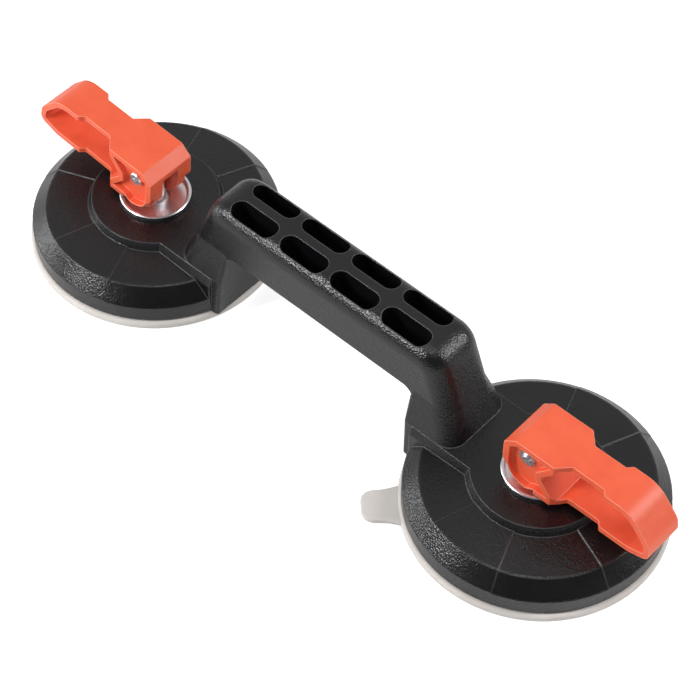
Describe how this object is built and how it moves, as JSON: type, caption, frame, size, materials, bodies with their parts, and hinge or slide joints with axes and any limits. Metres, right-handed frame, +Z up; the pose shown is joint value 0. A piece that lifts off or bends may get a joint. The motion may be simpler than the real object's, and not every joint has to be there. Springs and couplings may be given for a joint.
{
  "type": "suction lifter",
  "caption": "Vacuum lifter for smooth tiles and glass: a rigid bridge handle over round rubber suction pads, each drawn up by a flip lever on a steel stem.",
  "frame": {"origin": "centre of the bounding box in plan, on the plane that the pads' lips stand on", "axes": "+X along the grip from one pad to the other, +Y across the grip, +Z up from the pads to the grip"},
  "size_m": [0.3699, 0.123, 0.072],
  "materials": {
    "frame_paint": "satin",
    "lever_plastic": "satin",
    "pad_rubber": "matte",
    "zinc_steel": "satin",
    "spring_steel": "satin",
    "bush_plastic": "matte"
  },
  "bodies": {
    "frame": {"frame_casting": "frame_paint", "dish_r": "zinc_steel", "guide_bush_r": "bush_plastic", "spring_seat_r": "zinc_steel", "dish_l": "zinc_steel", "guide_bush_l": "bush_plastic", "spring_seat_l": "zinc_steel"},
    "stem_r": {"pull_stem_r": "zinc_steel", "pad_plate_r": "zinc_steel", "pad_rubber_r": "pad_rubber", "collar_r": "zinc_steel", "return_spring_r": "spring_steel"},
    "lever_r": {"lever_r": "lever_plastic", "pivot_pin_r": "zinc_steel", "push_on_washer_r": "zinc_steel"},
    "stem_l": {"pull_stem_l": "zinc_steel", "pad_plate_l": "zinc_steel", "pad_rubber_l": "pad_rubber", "collar_l": "zinc_steel", "return_spring_l": "spring_steel"},
    "lever_l": {"lever_l": "lever_plastic", "pivot_pin_l": "zinc_steel", "push_on_washer_l": "zinc_steel"}
  },
  "joints": [
    {"name": "stem_slide_r", "type": "slide", "parent": "frame", "child": "stem_r", "axis": [0, 0, 1], "range_m": [-0.005, 0], "deforming": ["return_spring_r"]},
    {"name": "lever_turn_r", "type": "hinge", "parent": "stem_r", "child": "lever_r", "pos_m": [0.1184, 0, 0.0468], "axis": [0, -1, 0], "range_deg": [0, 75]},
    {"name": "stem_slide_l", "type": "slide", "parent": "frame", "child": "stem_l", "axis": [0, 0, 1], "range_m": [-0.00473, 0], "deforming": ["return_spring_l"]},
    {"name": "lever_turn_l", "type": "hinge", "parent": "stem_l", "child": "lever_l", "pos_m": [-0.1184, 0, 0.0468], "axis": [0, 1, 0], "range_deg": [0, 71]}
  ],
  "couplings": [
    {"joint": "lever_turn_r", "follows": "stem_slide_r", "rad_per_m": -261.8},
    {"joint": "lever_turn_l", "follows": "stem_slide_l", "rad_per_m": -261.8}
  ]
}
